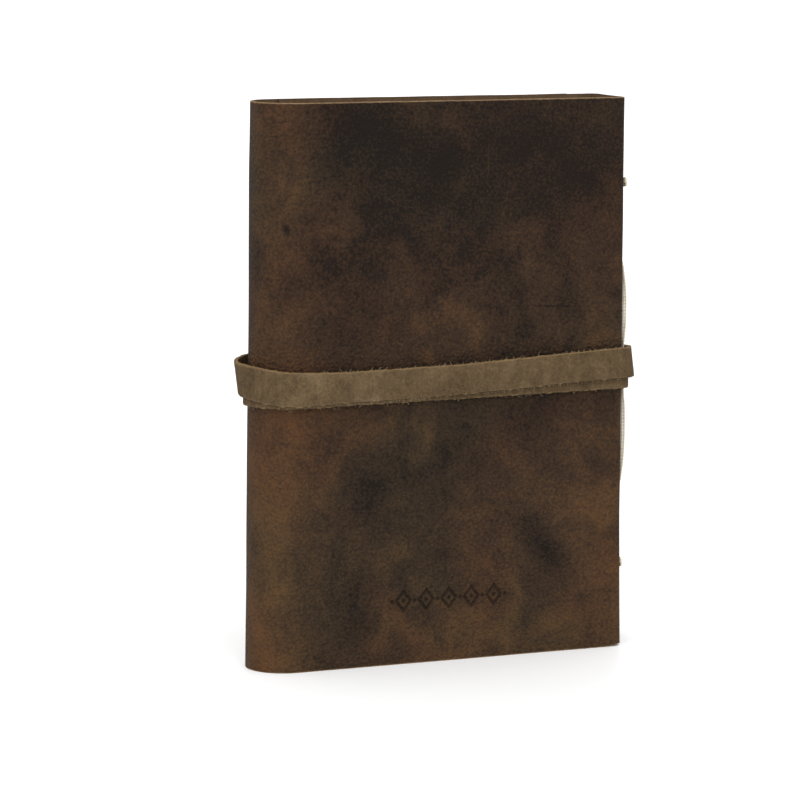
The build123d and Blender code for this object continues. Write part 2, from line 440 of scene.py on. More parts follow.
strapLook = {
    "dark": (0.040, 0.0265, 0.0135, 1), "middle": (0.092, 0.061, 0.0315, 1),
    "light": (0.168, 0.118, 0.066, 1), "roughness": 0.8, "specular": 0.06,
    "creaseScale": (620.0, 110.0, 1.0), "cloudScale": 30.0, "speckleScale": 1200.0, "speckle": 0.75,
    "pebbles": 1300.0, "pebbleDepth": 0.4, "wrinkles": 0.2, "grainHeight": 0.3 * mm,
}


def makeStrapGrain():
    look = strapLook
    material, tree, shader, where = newMaterial("strapGrain", look["roughness"], look["specular"])
    along = place(tree, "ShaderNodeUVMap", {"uv_map": "alongStrap"}).outputs["UV"]
    creased = place(tree, "ShaderNodeMapping", None, Vector=along, Scale=look["creaseScale"])
    creases = cloudNoise(tree, creased.outputs["Vector"], 1.0, Detail=4.0, Roughness=0.65, Distortion=0.5)
    mottle, grain = addMottleAndGrain(tree, where, look)
    tone = weigh(tree, creases, 0.24, mottle.outputs["Tone"])
    across = place(tree, "ShaderNodeSeparateXYZ", None, Vector=along).outputs["Y"]
    rubbed = between(tree, calculate(tree, "ABSOLUTE", across), 5 * mm, 6 * mm, 0.0, 0.10)
    colour = ramp(tree, calculate(tree, "ADD", tone, rubbed),
                  [(0.3, look["dark"]), (0.52, look["middle"]), (0.8, look["light"])])
    tree.links.new(colour, shader.inputs["Base Color"])
    height = calculate(tree, "MULTIPLY_ADD", creases, 0.6, grain.outputs["Height"])
    roughen(tree, shader, height, 0.5, look["grainHeight"])
    return material


def makePaper(name, tint, speck):
    material, tree, shader, where = newMaterial(name, 0.85, 0.2)
    pulp = cloudNoise(tree, where, 260.0, Detail=5.0, Roughness=0.7)
    blots = cloudNoise(tree, where, 24.0, Detail=2.0)
    colour = ramp(tree, weigh(tree, pulp, 0.5, blots), [(0.25, speck), (0.6, tint)])
    tree.links.new(colour, shader.inputs["Base Color"])
    roughen(tree, shader, pulp, 0.35, 0.12 * mm)
    return material


def makeThreadFinish():
    material, tree, shader, where = newMaterial("waxedThread", 0.6, 0.35)
    fibres = cloudNoise(tree, where, 2600.0, Detail=4.0, Roughness=0.7)
    grime = cloudNoise(tree, where, 140.0, Detail=2.0)
    colour = ramp(tree, weigh(tree, fibres, 0.55, grime),
                  [(0.3, (0.46, 0.39, 0.28, 1)), (0.62, (0.76, 0.69, 0.54, 1))])
    tree.links.new(colour, shader.inputs["Base Color"])
    roughen(tree, shader, fibres, 0.6, 0.12 * mm)
    return material


coverGrain = makeCoverGrain()
coverFlesh = makeSuede("coverFlesh", (0.050, 0.031, 0.019, 1), (0.125, 0.080, 0.046, 1), 1500.0)
coverCut = makeSuede("coverCutEdge", (0.060, 0.036, 0.018, 1), (0.30, 0.195, 0.105, 1), 1300.0)
# a darker copy of the cut edge: painted shade for the stretches that lie further back, away from the light
coverCutPaintedShade = makeSuede("coverCutEdgePaintedShade", (0.030, 0.017, 0.009, 1), (0.095, 0.052, 0.026, 1), 1300.0)
strapGrain = makeStrapGrain()
# flesh side, darkened as painted shade for the inside of the loop
strapFleshPaintedShade = makeSuede("strapFleshPaintedShade", (0.030, 0.019, 0.010, 1), (0.085, 0.055, 0.028, 1), 1700.0)
strapCut = makeSuede("strapCutEdge", (0.075, 0.045, 0.019, 1), (0.27, 0.175, 0.083, 1), 2400.0)
strapNap = makeSuede("strapNap", (0.16, 0.115, 0.060, 1), (0.42, 0.32, 0.20, 1), 900.0)
leafPaper = makePaper("leafPaper", (0.78, 0.71, 0.57, 1), (0.62, 0.53, 0.39, 1))
wrapperPaper = makePaper("wrapperPaper", (0.56, 0.46, 0.32, 1), (0.40, 0.31, 0.20, 1))
threadFinish = makeThreadFinish()
print("materials ready")


hide = {
    "rowStep": 2.5 * mm, "foldSteps": 84, "cornerSteps": 18, "spineSteps": 44, "coverSteps": 52,
    "slack": 0.55 * mm, "slackSize": 46 * mm,      # how far the hide waves in and out, and over what length
    "foldLean": 0.9 * mm, "spineFlare": 0.9 * mm, "flareHeight": 70 * mm, "pared": 0.6 * mm,
    "bruise": 0.9 * mm, "bruiseSize": (7 * mm, 12 * mm, 3 * mm),      # how far it reaches along x, y and z
    "holeRows": (0, 0.4, 0.8, 1.2, 1.7, 2.6),      # finer rows round the sewing holes, in mm
    "foldSplits": (150, 210), "foldEnds": 2,       # degrees: the fold's strips, and flat strips at their ends
    "rimRound": 0.32 * mm, "rimRough": 0.10 * mm,
    "pucker": 0.85 * mm, "puckerSize": 1.9 * mm,
}


def stitchPlace(number):
    # middle of a section's stitches across the spine, and the heights of the ends of its long stitch
    low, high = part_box(sectionNode(number, "long_stitch"))
    return (low.y + high.y) / 2, low.z, high.z


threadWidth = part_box(sectionNode(0, "inside_thread"))[1].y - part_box(sectionNode(0, "inside_thread"))[0].y
tailKnotZ = sum(c.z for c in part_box("tail_kettle_stitches")) / 2
headKnotZ = sum(c.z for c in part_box("head_kettle_stitches")) / 2
longLowZ = stitchPlace(0)[1] + threadWidth / 2
longHighZ = stitchPlace(0)[2] - threadWidth / 2
holeHeights = [tailKnotZ, longLowZ, longHighZ, headKnotZ]
holeRows = [stitchPlace(number)[0] for number in range(sectionCount)]


def rowHeights():
    rows = [step * hide["rowStep"] for step in range(round(headZ / hide["rowStep"]) + 1)]
    for height in holeHeights:
        for offset in hide["holeRows"]:
            rows += [height - offset * mm, height + offset * mm]
    kept = []
    for row in sorted(rows):
        if not kept or row - kept[-1] > 0.25 * mm:
            kept.append(row)
    kept[-1] = headZ
    return kept


def drawHide():
    # the grain face of the whole hide, drawn in plan from the flap's free end round to the front cover's
    sheet = newMesh("hide")
    innerY = frontY - cornerRadius
    firstPoint(flapBox[1].x, flapY)
    run(foldX - flapBox[1].x, 0, hide["coverSteps"])
    turnRound(foldX, 0, 180, hide["foldSteps"])
    run(cornerX - foldX, 0, hide["coverSteps"])
    turnRound(cornerX, backY + cornerRadius, 90, hide["cornerSteps"])
    run(0, innerY - backY - cornerRadius, hide["spineSteps"])
    turnRound(cornerX, innerY, 90, hide["cornerSteps"])
    run(frontBox[0].x - cornerX, 0, hide["coverSteps"])
    raiseBy(rowHeights())
    selectAll()
    bpy.ops.mesh.remove_doubles(threshold=0.01 * mm)
    bpy.ops.mesh.flip_normals()           # drawn this way round, the faces look inwards
    stopEditing()
    return sheet


def stretchOf(x, y):
    # name of the stretch of hide that a point in plan belongs to
    if x < foldX:
        turned = math.degrees(math.atan2(y, x - foldX)) % 360
        low, high = hide["foldSplits"]
        return "front_fold" if turned < low else "middle_fold" if turned < high else "back_fold"
    if y < backY + cornerRadius and x > cornerX:
        return "back_corner"
    if y < backY + 0.1 * mm:
        return "back_cover"
    if x > spineX - 0.01 * mm:
        return "spine"
    if x > cornerX:
        return "front_corner"
    return "flap" if y > flapY - 0.1 * mm else "front_cover"


stamp = {"x": 1.2, "z": 23.9, "pitch": 9.3, "count": 5, "halfWidth": 2.9, "halfHeight": 3.6, "line": 0.8,
         "dot": 0.6, "depth": 0.5, "wall": (-0.12, 0.34), "field": 6.5, "tone": 0.62}      # lengths in mm


def stampDepth(x, z):
    # depth of the blind-stamped row of diamonds and dots, from 0 to 1
    across = (x / mm - stamp["x"]) / stamp["pitch"]
    up = z / mm - stamp["z"]
    reach = (stamp["count"] - 1) / 2
    nearest = min(reach, max(-reach, round(across)))
    aside = (across - nearest) * stamp["pitch"]
    slope = 1 / math.hypot(1 / stamp["halfWidth"], 1 / stamp["halfHeight"])
    rim = abs(abs(aside) / stamp["halfWidth"] + abs(up) / stamp["halfHeight"] - 1) * slope
    dotAside = (across - min(reach + 0.5, max(-reach - 0.5, math.floor(across) + 0.5))) * stamp["pitch"]
    middleDot = math.hypot(aside, up) - stamp["dot"]
    sideDot = math.hypot(dotAside, up) - stamp["dot"]
    away = min(rim - stamp["line"] / 2, middleDot, sideDot)
    return 1 - easeBetween(away, *stamp["wall"])


def refineStampField(sheet):
    half = stamp["pitch"] * (stamp["count"] + 1) / 2 + 1

    def inField(face):
        x, y, z = face.center
        inside = abs(x / mm - stamp["x"]) < half and abs(z / mm - stamp["z"]) < stamp["field"]
        return inside and y < backY + 0.1 * mm and foldX < x < cornerX

    selectWhere(sheet, "FACE", inField)
    bpy.ops.mesh.subdivide(number_cuts=9, smoothness=0)
    stopEditing()


def slacken(sheet):
    # broad, shallow waves, so that no face is dead flat
    clouds = bpy.data.textures.new("hideWaves", "CLOUDS")
    clouds.noise_scale = hide["slackSize"]
    clouds.noise_depth = 1
    modify(sheet, "waves", "DISPLACE", texture=clouds, texture_coords="LOCAL", strength=hide["slack"],
           mid_level=0.5)
    applyAll(sheet)
    for point in sheet.data.vertices:     # the book splays a little towards its tail
        x, z = point.co.x, point.co.z
        atFold = min(1, max(0, x / foldX))
        atSpine = min(1, max(0, x / cornerX))
        point.co.x += hide["foldLean"] * (z / headZ * 2 - 1) * atFold
        point.co.x += hide["spineFlare"] * max(0, 1 - z / hide["flareHeight"]) ** 2 * atSpine


def cutOut(sheet, stretches, name, wanted):
    # copies one stretch of the hide out of the drawn sheet
    piece = copyOf(sheet, name)
    selectWhere(piece, "FACE", lambda face: stretches[face.index] != wanted)
    bpy.ops.mesh.delete(type="FACE")
    stopEditing()
    return piece


def thicken(piece, rim, freeEndX=None):
    # gives a stretch its thickness and rounds its cut edges. Cuts where it meets its neighbour stay sharp
    outerCount = len(piece.data.vertices)
    modify(piece, "thickness", "SOLIDIFY", thickness=hideThickness, offset=-1, use_even_offset=True,
           material_offset=1, material_offset_rim=2)
    dressIn(piece, coverGrain, coverFlesh, rim)
    applyAll(piece)
    points = piece.data.vertices

    def onRim(edge):
        first, second = edge.vertices
        if (first < outerCount) != (second < outerCount):
            return False
        ends = points[first].co, points[second].co
        atHead = min(end.z for end in ends) > headZ - 0.05 * mm
        atTail = max(end.z for end in ends) < 0.05 * mm
        atEnd = freeEndX is not None and max(abs(end.x - freeEndX) for end in ends) < 0.2 * mm
        return atHead or atTail or atEnd

    selectWhere(piece, "EDGE", onRim)
    bpy.ops.mesh.bevel(offset=hide["rimRound"], segments=2, profile=0.5, affect="EDGES", material=2)
    stopEditing()
    alongX, alongY, alongZ = hide["bruiseSize"]
    for point in piece.data.vertices:     # the tail corner of the spine is bruised by standing on it
        nearSpine = min(1, max(0, 1 - (spineX - point.co.x) / alongX))
        nearBack = min(1, max(0, 1 - (point.co.y - backY) / alongY))
        point.co.z += hide["bruise"] * nearSpine * nearBack * max(0, 1 - point.co.z / alongZ)
        if min(point.co.z, headZ - point.co.z) < 0.5 * mm:      # a knife-cut edge is never quite straight
            ripple = noise.noise(point.co * 60) + 0.4 * noise.noise(point.co * 520)
            point.co.z = max(0, point.co.z + hide["rimRough"] * ripple)
    smooth(piece)
    return piece


def storePressed(piece, values):
    layer = piece.data.attributes.new("pressed", "FLOAT", "POINT")
    layer.data.foreach_set("value", values)


def pressStamp(piece):
    values = []
    for point in piece.data.vertices:
        depth = stampDepth(point.co.x, point.co.z) if point.co.y < backY + 0.45 * hideThickness else 0
        point.co.y += depth * stamp["depth"] * mm
        values.append(depth * stamp["tone"])
    storePressed(piece, values)


def puckerHoles(piece):
    # sewing holes draw the leather in round the thread; the dimples are darkened as painted shade
    values = []
    for point in piece.data.vertices:
        pull = 0
        if point.co.x > spineX - 0.45 * hideThickness:
            for holeZ in holeHeights:
                for holeY in holeRows:
                    away = math.hypot(point.co.y - holeY, point.co.z - holeZ)
                    pull = max(pull, (1 - easeBetween(away, 0, hide["puckerSize"])) ** 1.4)
        point.co.x -= pull * hide["pucker"]
        # painted shade in the dimple, stored in the same layer as the stamp's darkening
        values.append(min(1, pull * 0.75))
    storePressed(piece, values)


def pareCorner(piece, middleY):
    # the leather is pared thinner inside the corners, so that they lie flat when the book is opened
    for point in piece.data.vertices:
        away = Vector((point.co.x - cornerX, point.co.y - middleY))
        if away.length < cornerRadius - hideThickness / 2:
            bend = 2 * abs(away.x * away.y) / away.length_squared
            away *= 1 + hide["pared"] * bend / away.length
            point.co.x, point.co.y = cornerX + away.x, middleY + away.y


def makeHide():
    sheet = drawHide()
    refineStampField(sheet)
    stretches = [stretchOf(face.center.x, face.center.y) for face in sheet.data.polygons]
    slacken(sheet)
    pieces = {}
    freeEnds = {"flap": flapBox[1].x, "front_cover": frontBox[0].x}
    paleRims = ("back_cover", "back_fold", "back_corner", "middle_fold")
    for name in ("flap", "front_fold", "middle_fold", "back_fold", "back_cover", "back_corner", "spine",
                 "front_corner", "front_cover"):
        piece = cutOut(sheet, stretches, f"hide_{name}", name)
        # rims further back get the darker copy, as painted shade
        rim = coverCut if name in paleRims else coverCutPaintedShade
        pieces[name] = thicken(piece, rim, freeEnds.get(name))
    pareCorner(pieces["back_corner"], backY + cornerRadius)
    pareCorner(pieces["front_corner"], frontY - cornerRadius)
    pressStamp(pieces["back_cover"])
    puckerHoles(pieces["spine"])
    bpy.data.objects.remove(sheet)
    return pieces


def hangHide(pieces):
    # flat stretches ride on a body; the folds and corners are listed with the two bodies they lie between,
    # but are only fixed in place
    rigid = {"flap": "flap", "back_cover": "back", "spine": "spine", "front_cover": "front_cover"}
    for name, body in rigid.items():
        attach(pieces[name], body)
        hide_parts(name)

    def foldEnds(start, end):
        # both ends of a strip of the fold, at the middle of the leather
        radius = flapY - hideThickness / 2
        turns = math.radians(start - hide["foldEnds"]), math.radians(end + hide["foldEnds"])
        return [(foldX + radius * math.cos(turn), radius * math.sin(turn), 0) for turn in turns]

    low, high = hide["foldSplits"]
    inset = hideThickness / 2             # so that both faces of a corner meet the flat leather
    bends = {
        "back_fold": ("back", "fold_middle", *foldEnds(270, high), "foredge_fold_back"),
        "middle_fold": ("fold_middle", "fold_front", *foldEnds(high, low), "foredge_fold_middle"),
        "front_fold": ("fold_front", "flap", *foldEnds(low, 90), "foredge_fold_front"),
        "back_corner": ("back", "spine", (cornerX + inset, backY + inset, 0),
                        (spineX - inset, backY + cornerRadius - inset, 0), "spine_back_corner"),
        "front_corner": ("spine", "front_cover", (spineX - inset, frontY - cornerRadius + inset, 0),
                         (cornerX + inset, frontY - inset, 0), "spine_front_corner"),
    }
    for name, (first, second, start, end, node) in bends.items():
        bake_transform(pieces[name])
        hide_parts(node)


hidePieces = makeHide()
hangHide(hidePieces)
print("hide ready,", sum(len(p.data.polygons) for p in hidePieces.values()), "faces")


def routeLength(route):
    line = bpy.data.meshes.new_from_object(route)
    points = [v.co for v in line.vertices]
    length = sum((b - a).length for a, b in zip(points, points[1:]))
    bpy.data.meshes.remove(line)
    return length


def newCurve(name, resolution):
    curve = bpy.data.curves.new(name, "CURVE")
    curve.dimensions = "3D"
    curve.resolution_u = resolution
    return curve


def threadRoute(points):
    curve = newCurve("threadRoute", 8)
    spline = curve.splines.new("NURBS")
    spline.points.add(len(points) - 1)
    for point, spot in zip(spline.points, points):
        point.co = (*spot, 1)
    spline.order_u = 3
    spline.use_endpoint_u = True
    return addObject("threadRoute", curve)


thread = {"plyShare": 0.29, "plyOffset": 0.23, "twist": 2.6 * mm, "sides": 7, "steps": 10}


def twistedThread(points, width=threadWidth):
    # two plies twisted together and laid along a route. Returns a mesh object
    route = threadRoute(points)
    length = routeLength(route)
    turns = max(1, round(length / thread["twist"]))
    deselectAll()
    rings = []
    for x in (-width * thread["plyOffset"], width * thread["plyOffset"]):
        bpy.ops.mesh.primitive_circle_add(vertices=thread["sides"], radius=width * thread["plyShare"],
                                          location=(x, 0, 0), fill_type="NGON")
        rings.append(bpy.context.object)
    cord = joinPieces(rings)
    settle(cord)
    modify(cord, "twist", "SCREW", angle=math.tau, screw_offset=length / turns, iterations=turns,
           steps=thread["steps"], render_steps=thread["steps"], use_merge_vertices=False)
    modify(cord, "lay", "CURVE", object=route, deform_axis="POS_Z")
    applyAll(cord)
    bpy.data.objects.remove(route)
    return cord


def finishThread(name, strands, body, node):
    piece = joinPieces(strands)
    piece.name = name
    startEditing(piece)
    selectAll()
    bpy.ops.mesh.fill_holes(sides=0)      # the twist leaves its far end open
    selectAll()
    bpy.ops.mesh.normals_make_consistent(inside=False)
    stopEditing()
    smooth(piece, 60)
    dressIn(piece, threadFinish)
    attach(piece, body)
    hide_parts(node)


stitch = {"rise": 1.75 * mm, "pressed": 1.25 * mm, "sink": 1.3 * mm, "kettleRise": 1.0 * mm,
          "knotLoops": ((1.75, 1.5), (1.4, 0.95), (0.95, 0.45))}      # how wide and how tall, in mm


def longStitch(number):
    # two strands that dive into the same two holes and stand off the spine between them
    middleY, low, high = stitchPlace(number)
    low, high = low + threadWidth / 2, high - threadWidth / 2
    half = threadWidth / 2
    strapLow, strapHigh = strapBox[0].z - 2 * mm, strapBox[1].z + 4 * mm
    hole = spineX - stitch["sink"]
    pressed = spineX + stitch["pressed"]
    strands = []
    for side in (-1, 1):
        y = middleY + side * half * 1.02
        spread = -0.3 * mm if number == 0 else 0
        rise = spineX + stitch["rise"] - side * (0.26 * mm if number == 0 else 0.05 * mm)
        # one end of the stitch: x, y and how far from the end
        ending = [(hole, middleY + side * half * 0.5, 0), (spineX - 0.2 * mm, middleY + side * half * 0.6, 0),
                  (spineX + 0.45 * mm, y, 0.3 * mm), (spineX + 0.85 * mm, y + spread / 2, 3 * mm),
                  (rise, y + spread, 12 * mm)]
        points = [(x, aside, low + reach) for x, aside, reach in ending]
        points += [(rise, y + spread, strapLow - 6 * mm), (pressed, y, strapLow)]
        points += [(pressed, y, strapHigh), (rise, y + spread, strapHigh + 6 * mm)]
        points += [(x, aside, high - reach) for x, aside, reach in reversed(ending)]
        strands.append(twistedThread(points))
    finishThread(f"long_stitch_{number + 1}", strands, "spine", sectionNode(number, "long_stitch"))


def kettleStitches(node, z, name):
    # short stitches from each section to the next, with a knot over the corner by the back cover
    half = threadWidth / 2
    hole = spineX - stitch["sink"]
    strands = []
    for number in range(sectionCount - 1):
        fromY, toY = holeRows[number], holeRows[number + 1]
        for side in (-1, 1):
            lift = z + side * half * 1.02
            rise = spineX + stitch["kettleRise"] * (1 + 0.12 * math.sin(3 * number + side))
            # one end of the stitch: x, how far from the hole, height
            ending = [(hole, 0, z + side * half * 0.5), (spineX - 0.1 * mm, 0, z + side * half * 0.7),
                      (spineX + 0.55 * mm, 0.2 * mm, lift)]
            points = [(x, fromY + reach, height) for x, reach, height in ending]
            points += [(rise, (fromY + toY) / 2, lift)]
            points += [(x, toY - reach, height) for x, reach, height in reversed(ending)]
            strands.append(twistedThread(points))
    for wide, tall in stitch["knotLoops"]:
        # lower half of a loop: x, how far past the first hole, how far below it
        loop = [(hole, 0, 0.3 * mm), (spineX + 0.5 * mm, 0.1 * mm, tall * mm),
                (spineX + 1.0 * mm, wide * 0.6 * mm, tall * mm),
                (spineX + 0.8 * mm, wide * 1.25 * mm, tall * 0.55 * mm)]
        points = [(x, holeRows[0] - reach, z - drop) for x, reach, drop in loop]
        points += [(spineX + 0.45 * mm, holeRows[0] - wide * 1.5 * mm, z)]
        points += [(x, holeRows[0] - reach, z + drop) for x, reach, drop in reversed(loop)]
        strands.append(twistedThread(points))
    finishThread(name, strands, "spine", node)


def foldThread(number):
    # the runs of thread inside a section, from each short stitch to the long one
    node = sectionNode(number, "inside_thread")
    low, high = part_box(node)
    x, y = (low.x + high.x) / 2, (low.y + high.y) / 2
    runs = [twistedThread([(x, y, start), (x, y, (start + end) / 2), (x, y, end)], threadWidth * 0.96)
            for start, end in ((holeHeights[0], holeHeights[1]), (holeHeights[2], holeHeights[3]))]
    finishThread(f"fold_thread_{number + 1}", runs, f"section_{number + 1}", node)


for sectionNumber in range(sectionCount):
    longStitch(sectionNumber)
    foldThread(sectionNumber)
kettleStitches("tail_kettle_stitches", tailKnotZ, "tail_kettle")
kettleStitches("head_kettle_stitches", headKnotZ, "head_kettle")
print("stitches ready")


pages = {"sheets": 7, "sheetThickness": 0.1 * mm, "wrapperThickness": 0.28 * mm, "foldReach": 7 * mm,
         "middleGap": 0.06 * mm, "leafPitch": 0.17 * mm, "threadRoom": 0.05 * mm,
         "deckle": 0.38 * mm, "trim": 0.16 * mm, "rows": 30}


def drawSheet(foreX, foldedX, flatHalf, foldHalf):
    # plan of one folded sheet: leaf, fold, leaf
    firstPoint(foreX, -flatHalf)
    run(foldedX - pages["foldReach"] - foreX, 0, 5)
    run(pages["foldReach"] * 0.9, flatHalf - foldHalf, 3)
    run(pages["foldReach"] * 0.1, 0, 1)
    turnRound(foldedX, 0, 180, 10)
    run(-pages["foldReach"] * 0.1, 0, 1)
    run(-pages["foldReach"] * 0.9, foldHalf - flatHalf, 3)
    run(foreX + pages["foldReach"] - foldedX, 0, 5)


def roughenLeaves(piece, foreX, chance, middleY):
    # torn fore edges and slightly uneven trimming, different for every leaf
    low = min(v.co.z for v in piece.data.vertices)
    high = max(v.co.z for v in piece.data.vertices)
    shift = chance.uniform(0, 50)
    for point in piece.data.vertices:
        leaf = round((point.co.y - middleY) / pages["leafPitch"])
        if point.co.x < foreX + 0.5 * mm:
            torn = noise.noise(Vector((leaf * 3.1 + shift, point.co.z * 90, 0.3)))
            torn += 0.5 * noise.noise(Vector((leaf * 1.7 + shift, point.co.z * 400, 5.1)))
            point.co.x += pages["deckle"] * torn
        uneven = noise.noise(Vector((leaf * 2.3 + shift, point.co.x * 25, 9.7)))
        if point.co.z < low + 0.01 * mm or point.co.z > high - 0.01 * mm:
            point.co.z += pages["trim"] * (uneven - 0.4) * (-1 if point.co.z < headZ / 2 else 1)


def makeSectionStock():
    # one section's sheets, drawn on the X axis
    low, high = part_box(sectionNode(0, "outer_sheet"))
    radius = (high.y - low.y) / 2
    foldedX = high.x - radius
    rows = [low.z + (high.z - low.z) * step / pages["rows"] for step in range(pages["rows"] + 1)]
    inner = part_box(sectionNode(0, "inner_sheets"))
    innerRadius = (inner[1].y - inner[0].y) / 2
    channel = threadWidth / 2 + pages["threadRoom"]
    stock = {}
    for name in ("leaves", "wrapper"):
        piece = newMesh(f"stock_{name}")
        if name == "leaves":
            thickness, offset = pages["sheetThickness"], 0
            for number in range(pages["sheets"]):
                share = (number + 1) / pages["sheets"]
                flatHalf = pages["middleGap"] + (innerRadius - pages["middleGap"]) * share
                foldHalf = channel + (innerRadius - channel) * share
                drawSheet(low.x, foldedX, flatHalf, foldHalf)
        else:
            thickness, offset = pages["wrapperThickness"], -1
            drawSheet(low.x, foldedX, radius, radius)
        raiseBy(rows)
        selectAll()
        bpy.ops.transform.translate(value=(0, 0, low.z))
        bpy.ops.mesh.remove_doubles(threshold=0.005 * mm)
        bpy.ops.mesh.normals_make_consistent(inside=False)
        stopEditing()
        modify(piece, "thickness", "SOLIDIFY", thickness=thickness, offset=offset)
        applyAll(piece)
        stock[name] = piece
    return stock, low.x


def makeSections():
    stock, foreX = makeSectionStock()
    chance = random.Random(11)
    parts = {"leaves": ("inner_sheets", leafPaper, "paper"),
             "wrapper": ("outer_sheet", wrapperPaper, "outer_sheets")}
    for number in range(sectionCount):
        for name, (node, material, slotName) in parts.items():
            low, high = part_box(sectionNode(number, node))
            piece = copyOf(stock[name], f"section_{number + 1}_{name}")
            piece.location.y = (low.y + high.y) / 2
            settle(piece)
            roughenLeaves(piece, foreX, chance, (low.y + high.y) / 2)
            smooth(piece, 30)
            dressIn(piece, material)
            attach(piece, f"section_{number + 1}")
            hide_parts(sectionNode(number, node))
    for piece in stock.values():
        bpy.data.objects.remove(piece)


makeSections()
print("pages ready")


strap = {
    "width": strapBox[1].z - strapBox[0].z, "thickness": 1.55 * mm, "columns": 1400,
    "outerWidth": 0.955, "loopAt": 0.672, "splay": 0.14, "shadeDashes": -0.12, "rounding": 0.28 * mm,
    "edgeRough": 0.24 * mm,
    "edgeWaves": ((45, 3, 1.2), (420, 8, 0.8), (1100, 2, 0.8)),      # how fine, seed, how deep
    "fibres": 1900, "fibreLength": (0.25 * mm, 1.7 * mm), "fibreRadius": 0.085 * mm,
}
innerY = flapY + 0.2 * mm + strap["thickness"] / 2            # middle line of the turn against the leather
outerY = strapBox[1].y - strap["thickness"] / 2 - 0.02 * mm   # and of the turn over it
rightX = strapBox[1].x - strap["thickness"] / 2 - 0.45 * mm
innerRightX = rightX - 1.5 * mm
leftX = strapBox[0].x + strap["thickness"] / 2 + 1.9 * mm
innerRound = innerRightX - cornerX                            # radius round the corners of the spine
outerRound = rightX - cornerX + 0.4 * mm

# x, y, height of the middle line, heading in plan, handle behind and ahead, lean of the top edge outwards
arc = 0.5523
strapRoute = [
    (18 * mm, innerY, 105.0, (-1, 0), 0, 20 * mm, 0),
    (foldX, innerY, 104.6, (-1, 0), 20 * mm, arc * innerY, 0),
    (foldX - innerY, 0, 104.5, (0, -1), arc * innerY, arc * innerY, 0),
    (foldX, -innerY, 104.4, (1, 0), arc * innerY, 30 * mm, 0),
    (cornerX, -innerY, 105.6, (1, 0), 40 * mm, arc * innerRound, 0),
    (innerRightX, -innerY + innerRound, 105.8, (0, 1), arc * innerRound, 4 * mm, 0),
    (innerRightX, innerY - innerRound, 106.2, (0, 1), 4 * mm, arc * innerRound, 0),
    (cornerX, innerY, 106.4, (-1, 0), arc * innerRound, 10 * mm, 0),
    (27.6 * mm, innerY, 107.6, (-1, 0), 10 * mm, 3 * mm, 0),
    (20.6 * mm, outerY, 108.0, (-1, 0), 3 * mm, 20 * mm, 0),
    (foldX, outerY, 110.8, (-1, 0), 20 * mm, arc * outerY, 2),
    (leftX, 1.5 * mm, 107.9, (0, -1), arc * outerY, arc * outerY, 9),
    (foldX, -outerY, 105.6, (1, 0), arc * outerY, 22 * mm, 1),
    (-4 * mm, -outerY, 106.3, (1, 0), 22 * mm, 22 * mm, 0),
    (cornerX, -outerY, 109.6, (1, 0), 26 * mm, arc * outerRound, -2),
    (rightX, -outerY + outerRound, 109.6, (0, 1), arc * outerRound, 4 * mm, -8),
    (rightX, outerY - outerRound, 109.4, (0, 1), 4 * mm, arc * outerRound, -6),
    (cornerX, outerY, 109.8, (-1, 0), arc * outerRound, 12 * mm, 0),
    (31.6 * mm, outerY, 110.6, (-1, 0), 12 * mm, 0, 0),
]


def makeStrapRoute():
    curve = newCurve("strapRoute", 32)
    curve.twist_mode = "Z_UP"
    spline = curve.splines.new("BEZIER")
    spline.bezier_points.add(len(strapRoute) - 1)
    heights = [stop[2] * mm for stop in strapRoute]
    for number, (point, stop) in enumerate(zip(spline.bezier_points, strapRoute)):
        x, y, height, heading, behind, ahead, lean = stop
        before, after = heights[max(0, number - 1)], heights[min(len(heights) - 1, number + 1)]
        climb = (after - before) / 2 if 0 < number < len(heights) - 1 else 0
        slope = 0.6 * climb / (behind + ahead + 20 * mm)
        point.handle_left_type = point.handle_right_type = "FREE"
        point.co = (x, y, height * mm)
        point.handle_left = (x - heading[0] * behind, y - heading[1] * behind, height * mm - slope * behind)
        point.handle_right = (x + heading[0] * ahead, y + heading[1] * ahead, height * mm + slope * ahead)
        point.tilt = math.radians(lean)
    return addObject("strapRoute", curve)


def strapFibres(length):
    # loose fibres along both cut edges, drawn on the straight strap
    chance = random.Random(5)
    curve = newCurve("strapFibres", 2)
    curve.bevel_depth = strap["fibreRadius"]
    curve.bevel_resolution = 0
    curve.use_fill_caps = True
    for number in range(strap["fibres"]):
        side = chance.choice((-1, 1))
        x = chance.uniform(2 * mm, length - 2 * mm)
        y = chance.uniform(-0.45, 0.45) * strap["thickness"]
        reach = chance.uniform(*strap["fibreLength"]) * chance.uniform(0.2, 1) ** 1.8
        lean = chance.uniform(-1.1, 1.1) * reach
        out = chance.uniform(-0.25, 0.25) * reach
        base = side * (strap["width"] / 2 - 0.25 * mm)
        spline = curve.splines.new("NURBS")
        spline.points.add(3)
        for share, point in zip((0, 0.35, 0.7, 1), spline.points):
            curl = math.sin(share * 3) * chance.uniform(-0.12, 0.12) * reach
            point.co = (x + lean * share ** 1.6 + curl, y + out * share, base + side * reach * share, 1)
            point.radius = 1 - 0.75 * share
        spline.order_u = 3
        spline.use_endpoint_u = True
    takeUp(addObject("strapFibres", curve))
    bpy.ops.object.convert(target="MESH")
    fibres = bpy.context.object
    dressIn(fibres, strapNap)
    return fibres


